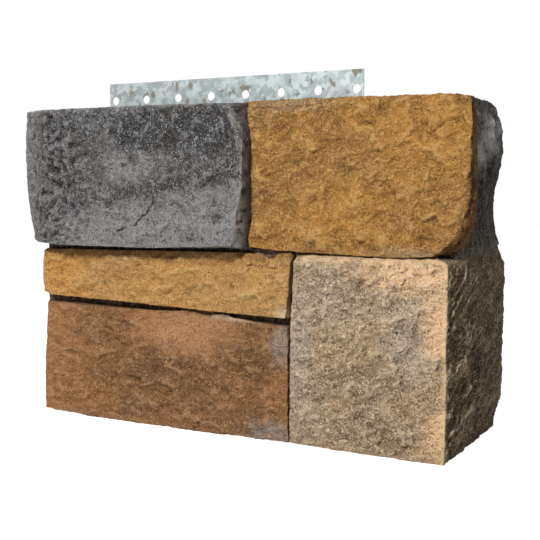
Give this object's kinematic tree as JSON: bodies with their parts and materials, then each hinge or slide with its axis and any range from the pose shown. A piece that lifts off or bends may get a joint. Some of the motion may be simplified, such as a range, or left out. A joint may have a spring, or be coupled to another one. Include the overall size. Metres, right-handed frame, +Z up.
{
  "type": "ledger stone veneer corner",
  "caption": "L-shaped cast stone veneer corner panel with split-face stones in staggered courses and a punched steel nailing flange along the top of its long leg.",
  "frame": {"origin": "bottom centre of the part's box, on the level foot that it stands on", "axes": "+X along the long leg towards the corner, +Y from the stone faces to the wall, +Z up"},
  "size_m": [0.3048, 0.1096, 0.2222],
  "materials": {
    "cast_stone": "pigmented split-face cast concrete, dry and matt, in grey, gold, tan and rust",
    "galvanised_steel": "dull hot-dip galvanised sheet with cement splashes"
  },
  "bodies": {
    "root": {"cast_stone_panel": "cast_stone", "nailing_flange": "galvanised_steel"}
  },
  "joints": []
}
